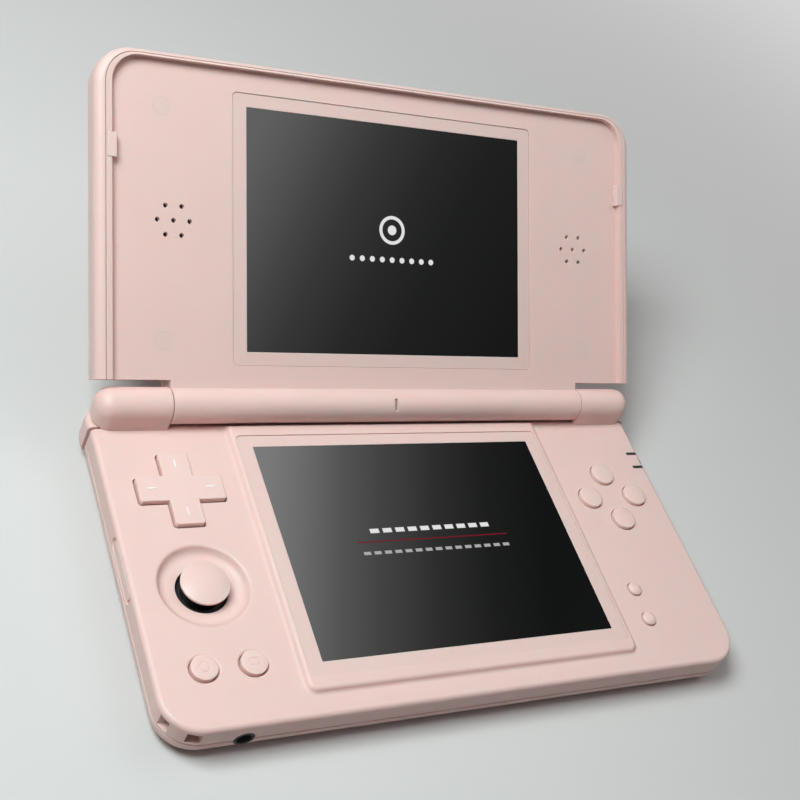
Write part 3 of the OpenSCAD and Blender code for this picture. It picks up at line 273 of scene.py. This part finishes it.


# ------------------------------------------------------------------ screen images and their painted reflections

class PictureAndReflection:
    """A dark display image drawn with nodes over a painted reflection, in millimetres from the
    middle of the screen.
    """

    SOFT_EDGE = 0.06

    def __init__(self, name, glass, up):
        low, high = box_of(glass)
        self.s = Shader(name)
        self.u = self.place(Vector((1, 0, 0)), (low + high) / 2)
        self.v = self.place(up, (low + high) / 2)
        self.picture_and_reflection = None

    def place(self, along, centre):
        dot = self.s.node("ShaderNodeVectorMath", operation="DOT_PRODUCT")
        self.s.link(self.s.coordinates, dot.inputs[0])
        dot.inputs[1].default_value = along / MM
        return self.s.math("SUBTRACT", dot.outputs["Value"], along.dot(centre) / MM)

    def painted_reflection(self, stops, angle, span):
        """Painted reflection: grey that falls off across the screen along a slanted direction,
        emitted with the image.
        """
        a = math.radians(angle)
        s = self.s
        across = s.math("MULTIPLY", self.u, math.cos(a))
        upwards = s.math("MULTIPLY", self.v, math.sin(a))
        ramp = s.node("ShaderNodeValToRGB")
        points = ramp.color_ramp.elements
        while len(points) < len(stops):
            points.new(0.5)
        for point, (at, grey) in zip(points, stops):
            point.position = at
            point.color = opaque((grey, grey, grey))
        along = s.math("ADD", across, upwards)
        s.link(s.ramp(along, 0.0, 1.0, -span / 2, span / 2), ramp.inputs["Fac"])
        self.picture_and_reflection = ramp.outputs["Color"]

    def form(self, distance):
        """1 inside and 0 outside of a form, softened over a pixel."""
        return self.s.ramp(distance, 1.0, 0.0, -self.SOFT_EDGE, self.SOFT_EDGE)

    def bar(self, x, y, w, h):
        s = self.s
        out = s.math("SUBTRACT", s.math("ABSOLUTE", s.math("SUBTRACT", self.u, x)), w / 2)
        up = s.math("SUBTRACT", s.math("ABSOLUTE", s.math("SUBTRACT", self.v, y)), h / 2)
        return self.form(s.math("MAXIMUM", out, up))

    def radius(self, x, y):
        s = self.s
        dx = s.math("SUBTRACT", self.u, x)
        dy = s.math("SUBTRACT", self.v, y)
        squares = s.math("ADD", s.math("MULTIPLY", dx, dx), s.math("MULTIPLY", dy, dy))
        return s.math("SQRT", squares)

    def disc(self, x, y, r):
        return self.form(self.s.math("SUBTRACT", self.radius(x, y), r))

    def ring(self, x, y, r, t):
        s = self.s
        away = s.math("ABSOLUTE", s.math("SUBTRACT", self.radius(x, y), r))
        return self.form(s.math("SUBTRACT", away, t / 2))

    def paint(self, form, colour):
        self.picture_and_reflection = self.s.mix(form, self.picture_and_reflection, opaque(colour))

    def glass(self):
        """The image and its painted reflection glow through smooth cover glass."""
        s = self.s
        s.put("Base Color", opaque((0.004, 0.004, 0.004)))
        # The emission holds the image and the painted reflection under it
        s.put("Emission Color", self.picture_and_reflection)
        s.put("Emission Strength", 1.0)
        s.put("Roughness", s.ramp(s.noise(900.0, 2.0), 0.14, 0.18))
        s.put("IOR", 1.32)
        s.put("Specular IOR Level", 0.06)
        s.bump(s.noise(60.0, 2.0), 0.05, 0.02)
        return s.material


SCREEN_WHITE = (0.75, 0.75, 0.75)
SCREEN_GREY = (0.4, 0.4, 0.4)
SCREEN_RED = (0.16, 0.004, 0.012)
# Width in millimetres over which the screens' painted reflection fades to black
REFLECTION_SPAN = 90


def upper_screen():
    """A ring round a dot over a row of dots, on a painted reflection."""
    lid_hinge = next(joint for joint in BEHAVIOUR["joints"] if joint["name"] == "lid_hinge")
    lid_open = math.radians(lid_hinge["range_deg"][1])
    up = Matrix.Rotation(-lid_open, 3, "X") @ Vector((0, -1, 0))
    screen = PictureAndReflection("upper_screen_image_and_reflection", "upper_screen_glass", up)
    # Painted reflection: emitted grey, lightest at the upper left, that stands in for a lamp
    # mirrored in the glass
    screen.painted_reflection(
        [(0.0, 0.109), (0.22, 0.052), (0.33, 0.032), (0.5, 0.016), (0.67, 0.0086), (1.0, 0.004)],
        -28, REFLECTION_SPAN
    )
    middle = 0.5
    screen.paint(screen.ring(middle, 2.6, 3.4, 0.9), SCREEN_WHITE)
    screen.paint(screen.disc(middle, 2.6, 1.3), SCREEN_WHITE)
    for i in range(-4, 5):
        screen.paint(screen.disc(middle + 3.0 * i, -5.4, 0.75), SCREEN_WHITE)
    return screen.glass()


def lower_screen():
    """A thin red line between two rows of dashes, on a painted reflection."""
    screen = PictureAndReflection("lower_screen_image_and_reflection", "lower_screen_glass", Vector((0, 1, 0)))
    # Painted reflection: emitted grey, lightest at the upper left, that stands in for a lamp
    # mirrored in the glass
    screen.painted_reflection(
        [(0.0, 0.186), (0.22, 0.079), (0.33, 0.048), (0.5, 0.019), (0.67, 0.0056), (0.85, 0.0)],
        -18, REFLECTION_SPAN
    )
    for i in range(10):
        screen.paint(screen.bar((i - 4.5) * 3.6, 3.6, 2.5, 1.3), SCREEN_WHITE)
    screen.paint(screen.bar(0.0, 0.4, 44.0, 0.35), SCREEN_RED)
    for i in range(-7, 8):
        screen.paint(screen.bar(2.9 * i, -2.9, 1.9, 0.9), SCREEN_GREY)
    return screen.glass()


# Nodes whose finish differs from what their slot has
FINISH_OF_NODE = {
    "upper_screen_glass": upper_screen(),
    "lower_screen_glass": lower_screen(),
    "upper_screen_frame": frame_plastic,
    "lower_screen_frame": frame_plastic,
    "direction_pad": pad_plastic,
    "lid_screw_plugs": shell_plastic,
    "stick_gimbal": stick_plastic,
    "stick_module": stick_plastic,
    "stick_shaft": stick_plastic,
}
FINISH_OF_SLOT = {
    "shell_plastic": shell_plastic,
    "key_plastic": key_plastic,
    "black_plastic": black_plastic,
    "window_plastic": black_plastic,
    "white_plastic": white_plastic,
    "display_metal": display_metal,
    "steel": steel,
    "circuit_board": circuit_board,
    "battery_wrap": battery_wrap,
    "foot_rubber": foot_rubber,
    "silicone": silicone,
}


def finish(obj, node):
    """Give an object the finish of a node."""
    obj.data.materials.clear()
    obj.data.materials.append(FINISH_OF_NODE.get(node) or FINISH_OF_SLOT[SLOT_OF[node]])


# ------------------------------------------------------------------ the raised plate's front

# The raised plate round the lower screen, in millimetres: the deck's height, the plate's height
# over it, where its slopes reach the deck, how wide they are, and the radius of its front corners
DECK = 11.3
PLATE_RISE = 1.3
FRONT_FOOT = -40.2
FRONT_RUN = 2.0
SIDE_FOOT = 47.45
SIDE_RUN = 2.3
CORNER = 1.2
FRONT_BACK = FRONT_FOOT + FRONT_RUN + CORNER
SIDE_INNER = SIDE_FOOT - SIDE_RUN - CORNER
# How far a point may lie off the deck, past a foot or round the front and still count, in
# millimetres, and how much a face on top has to look up
OFF_DECK = 0.02
PAST_FOOT = 0.04
AROUND_FRONT = 0.1
FACES_UP = 0.05
FRONT_CUTS = 13
SIDE_CUTS = 14
# Points this close to a cut lie on it, and points this close to each other become one, in metres
CUT_SNAP = 2e-6
WELD = 4e-6


def plate_height(x, y):
    """Height of the plate's front edge and corners over a point, or None away from them."""
    front = FRONT_BACK - y
    side = max(0.0, abs(x) - SIDE_INNER)
    if front <= 0.0:
        return None
    out = math.hypot(front, side)
    run = (FRONT_RUN * front ** 2 + SIDE_RUN * side ** 2) / out ** 2
    up = run * (1.0 - min(1.0, max(0.0, (out - CORNER) / run)))
    r = run / (2.0 * math.sin(2.0 * math.atan(PLATE_RISE / run)))
    if up < run / 2:
        return DECK + r - math.sqrt(r * r - up * up)
    return DECK + PLATE_RISE - r + math.sqrt(r * r - (run - up) ** 2)


def in_plate_front(v, spare=0.0):
    """Whether a vertex lies on the plate's front edge or front corners, seen from above."""
    x, y, z = v.co / MM
    past = PAST_FOOT + spare
    return (
        z > DECK - OFF_DECK
        and abs(x) < SIDE_FOOT + past
        and FRONT_FOOT - past < y < FRONT_BACK + spare
    )


def top_parts_at_front(bm):
    """Faces on and over the deck that reach the plate's front, with their edges and vertices."""
    parts = set()
    for face in bm.faces:
        corners = [v.co / MM for v in face.verts]
        if face.normal.z < FACES_UP or min(c.z for c in corners) < DECK - OFF_DECK:
            continue
        ahead = min(c.y for c in corners) < FRONT_BACK and max(c.y for c in corners) > FRONT_FOOT
        beside = min(c.x for c in corners) < SIDE_FOOT and max(c.x for c in corners) > -SIDE_FOOT
        if ahead and beside:
            parts.update([face, *face.verts, *face.edges])
    return parts


def front_cuts():
    """Directions and places of the cuts that give the front enough points for its curves."""
    depth = FRONT_BACK - FRONT_FOOT
    width = SIDE_FOOT + OFF_DECK - SIDE_INNER
    for i in range(FRONT_CUTS + 1):
        yield Vector((0, 1, 0)), FRONT_FOOT + depth * i / FRONT_CUTS
    for i in range(SIDE_CUTS + 1):
        for side in (1, -1):
            yield Vector((1, 0, 0)), side * (SIDE_INNER + width * i / SIDE_CUTS)


def soften_plate(bm):
    """Give the plate a softer front edge and front corners that are round in plan."""
    bm.normal_update()
    parts = top_parts_at_front(bm)
    for normal, at in front_cuts():
        cut = bmesh.ops.bisect_plane(
            bm, geom=list(parts), dist=CUT_SNAP, plane_co=normal * at * MM, plane_no=normal
        )
        parts = set(cut["geom"])
    for v in bm.verts:
        if in_plate_front(v):
            height = plate_height(v.co.x / MM, v.co.y / MM)
            if height is not None:
                v.co.z = height * MM
    bmesh.ops.remove_doubles(bm, verts=bm.verts, dist=WELD)
    bmesh.ops.dissolve_degenerate(bm, edges=bm.edges, dist=WELD)
    front = [
        face for face in bm.faces if all(in_plate_front(v, AROUND_FRONT) for v in face.verts)
    ]
    bmesh.ops.triangulate(bm, faces=front)


# ------------------------------------------------------------------ pieces with soft edges

SHARP_ANGLE = math.radians(35.0)
FLAT_ANGLE = math.radians(0.3)
# Share of the room beside an edge that its rounding may take
ROOM_SHARE = 0.35
BEVEL_SEGMENTS = 2
FACE_WEIGHT = 100
SAME_POINT = 1e-7
# An edge counts as facing another one within this cosine, and no room is larger than this
FACING = 0.6
MOST_ROOM = 1.0

# How wide each moulded piece's edges are rounded, in millimetres
ROUNDING = {
    "base_top_shell": 0.12, "base_bottom_shell": 0.12,
    "lid_inner_frame": 0.06, "lid_outer_shell": 0.06, "hinge_barrel": 0.15,
    "lower_screen_frame": 0.15, "upper_screen_frame": 0.15,
    "direction_pad": 0.22,
    "right_face_key": 0.18, "bottom_face_key": 0.18, "left_face_key": 0.18, "top_face_key": 0.18,
    "start_key": 0.15, "select_key": 0.15, "home_key": 0.04, "return_key": 0.04,
    "power_button": 0.15, "volume_rocker": 0.15, "lid_bumpers": 0.2,
    "left_outer_shoulder": 0.12, "left_inner_shoulder": 0.12,
    "right_outer_shoulder": 0.12, "right_inner_shoulder": 0.12,
}


def room_inward(edge, face, sharp):
    """Distance from a sharp edge across a face to the next sharp edge that faces it."""
    a, b = (v.co for v in edge.verts)
    middle = (a + b) / 2
    inward = face.normal.cross(b - a).normalized()
    if inward.dot(face.calc_center_median() - middle) < 0:
        inward.negate()
    nearest = MOST_ROOM
    for other in face.edges:
        if other is edge or other not in sharp:
            continue
        away = (other.verts[0].co + other.verts[1].co) / 2 - middle
        length = away.length
        if length < nearest and away.dot(inward) > FACING * length:
            nearest = length
    return nearest


def weigh_edges(bm, width):
    """Full rounding on sharp edges, and less of it where a feature is too fine for that."""
    weight = bm.edges.layers.float.new("bevel_weight_edge")
    sharp = {
        edge for edge in bm.edges
        if len(edge.link_faces) == 2 and edge.calc_face_angle(0.0) > SHARP_ANGLE
        and not all(in_plate_front(v) for v in edge.verts)
    }
    for edge in sharp:
        room = min(room_inward(edge, face, sharp) for face in edge.link_faces)
        edge[weight] = min(1.0, ROOM_SHARE * room / width)


def clean_mesh(node, width):
    """A node's mesh with its flat faces joined and a rounding weight on each sharp edge."""
    bm = bmesh.new()
    bm.from_mesh(NODES[node].data)
    bmesh.ops.remove_doubles(bm, verts=bm.verts, dist=SAME_POINT)
    bmesh.ops.dissolve_degenerate(bm, edges=bm.edges, dist=WELD)
    flat = bm.edges
    if node == "base_top_shell":
        soften_plate(bm)
        flat = [edge for edge in bm.edges if not any(in_plate_front(v) for v in edge.verts)]
    bmesh.ops.dissolve_limit(bm, angle_limit=FLAT_ANGLE, verts=[], edges=flat)
    for face in bm.faces:
        face.smooth = True
    bm.normal_update()
    weigh_edges(bm, width)
    mesh = bpy.data.meshes.new(node + "_moulding")
    bm.to_mesh(mesh)
    bm.free()
    return mesh


def soft_copy(node, width):
    """A copy of a node with its sharp edges rounded as a mould rounds them, in its place."""
    piece = bpy.data.objects.new(node + "_moulding", clean_mesh(node, width))
    SCENE.collection.objects.link(piece)
    bevel = piece.modifiers.new("edges", "BEVEL")
    bevel.width = width
    bevel.segments = BEVEL_SEGMENTS
    bevel.limit_method = "WEIGHT"
    bevel.use_clamp_overlap = False
    weighted = piece.modifiers.new("face_normals", "WEIGHTED_NORMAL")
    weighted.weight = FACE_WEIGHT
    weighted.keep_sharp = False
    depsgraph = bpy.context.evaluated_depsgraph_get()
    rounded = bpy.data.meshes.new_from_object(piece.evaluated_get(depsgraph))
    piece.modifiers.clear()
    piece.data = rounded
    finish(piece, node)
    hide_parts(node)
    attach(piece, BODY_OF[node])


for node_name, width_mm in ROUNDING.items():
    soft_copy(node_name, width_mm * MM)
for node_name, obj in NODES.items():
    if node_name not in ROUNDING:
        finish(obj, node_name)


# ------------------------------------------------------------------ floor

PAPER_FAR = 0.68
# Distances from the object between which the floor fades to plain paper
FADE_FROM = 0.16
FADE_TO = 0.55
# The floor's half width, its front end, where it starts to curve up, the curve and its top
FLOOR_HALF = 2.6
FLOOR_FRONT = -1.6
CURVE_START = 1.0
CURVE_R = 0.5
CURVE_STEPS = 12
WALL_TOP = 2.2
# The floor lies this little under the feet, so that the two don't share a plane
FLOOR_SINK = 0.02 * MM


def seen_directly(tree):
    """1 for rays that show the background itself: camera, glossy and transmission rays."""
    path = tree.nodes.new("ShaderNodeLightPath")
    total = path.outputs["Is Camera Ray"]
    for ray in ("Is Glossy Ray", "Is Transmission Ray"):
        either = tree.nodes.new("ShaderNodeMath")
        either.operation = "MAXIMUM"
        tree.links.new(total, either.inputs[0])
        tree.links.new(path.outputs[ray], either.inputs[1])
        total = either.outputs[0]
    return total


def fade_far_away(s):
    """The floor keeps its shadow near the object and fades to plain pale paper further off."""
    away = s.node("ShaderNodeVectorMath", operation="LENGTH")
    s.link(s.coordinates, away.inputs[0])
    far = s.node("ShaderNodeMapRange", interpolation_type="SMOOTHSTEP")
    far.inputs["From Min"].default_value = FADE_FROM
    far.inputs["From Max"].default_value = FADE_TO
    s.link(away.outputs["Value"], far.inputs["Value"])
    glow = s.node("ShaderNodeEmission")
    glow.inputs["Color"].default_value = opaque((PAPER_FAR, PAPER_FAR, PAPER_FAR))
    both = s.node("ShaderNodeMixShader")
    s.link(s.math("MULTIPLY", far.outputs["Result"], seen_directly(s.tree)), both.inputs["Fac"])
    s.link(s.bsdf.outputs["BSDF"], both.inputs[1])
    s.link(glow.outputs["Emission"], both.inputs[2])
    s.link(both.outputs["Shader"], s.tree.nodes["Material Output"].inputs["Surface"])


def floor_paper():
    """Pale paper, a little darker for the light that it throws back on the object."""
    s = Shader("floor_paper")
    paper = s.mix(s.noise(9.0), opaque((0.64, 0.60, 0.59)), opaque((0.67, 0.63, 0.62)))
    s.put("Base Color", s.mix(seen_directly(s.tree), opaque((0.50, 0.46, 0.45)), paper))
    s.put("Roughness", 0.85)
    s.bump(s.noise(700.0), 0.1, 0.1)
    fade_far_away(s)
    return s.material


def add_floor():
    """A pale floor that curves up behind the object."""
    profile = [(FLOOR_FRONT, 0.0), (CURVE_START, 0.0)]
    for i in range(1, CURVE_STEPS + 1):
        a = math.radians(90.0 * i / CURVE_STEPS)
        profile.append((CURVE_START + CURVE_R * math.sin(a), CURVE_R * (1 - math.cos(a))))
    profile.append((CURVE_START + CURVE_R, WALL_TOP))
    bm = bmesh.new()
    left, right = (
        [bm.verts.new((x, y, z - FLOOR_SINK)) for y, z in profile]
        for x in (-FLOOR_HALF, FLOOR_HALF)
    )
    for i in range(len(profile) - 1):
        bm.faces.new((left[i], right[i], right[i + 1], left[i + 1])).smooth = True
    mesh = bpy.data.meshes.new("floor")
    bm.to_mesh(mesh)
    bm.free()
    floor = bpy.data.objects.new("floor", mesh)
    SCENE.collection.objects.link(floor)
    floor.data.materials.append(floor_paper())


add_floor()


# ------------------------------------------------------------------ light

LIGHT_AIM = Vector((0.0, 0.0, 0.02))
COOL = (0.87, 1.0, 1.0)
NEUTRAL = (1.0, 1.0, 1.0)
SKY_FILL = 0.05


def area_light(name, place, size, power, colour=NEUTRAL):
    """A square lamp that shines on the middle of the object."""
    data = bpy.data.lights.new(name, "AREA")
    data.shape = "SQUARE"
    data.size = size
    data.energy = power
    data.color = colour
    lamp = bpy.data.objects.new(name, data)
    SCENE.collection.objects.link(lamp)
    lamp.location = place
    lamp.rotation_euler = (LIGHT_AIM - Vector(place)).to_track_quat("-Z", "Y").to_euler()


def add_sky():
    """A weak even fill for the object, and the pale paper's grey where the sky itself is seen."""
    world = bpy.data.worlds.new("studio")
    SCENE.world = world
    world.use_nodes = True
    tree = world.node_tree
    studio = tree.nodes["Background"]
    studio.inputs["Color"].default_value = opaque(NEUTRAL)
    strength = tree.nodes.new("ShaderNodeMapRange")
    strength.inputs["To Min"].default_value = SKY_FILL
    strength.inputs["To Max"].default_value = PAPER_FAR
    tree.links.new(seen_directly(tree), strength.inputs["Value"])
    tree.links.new(strength.outputs["Result"], studio.inputs["Strength"])


area_light("key", (0.7, 0.05, 0.95), 0.7, 2.4)
area_light("near_left", (-0.30, 0.05, 0.50), 0.25, 3.4, COOL)
area_light("back", (0.18, 0.36, 0.55), 0.3, 0.2)
area_light("front", (0.12, -0.21, 0.54), 0.25, 0.1)
add_sky()
SCENE.view_settings.view_transform = "Standard"

bpy.context.view_layer.update()
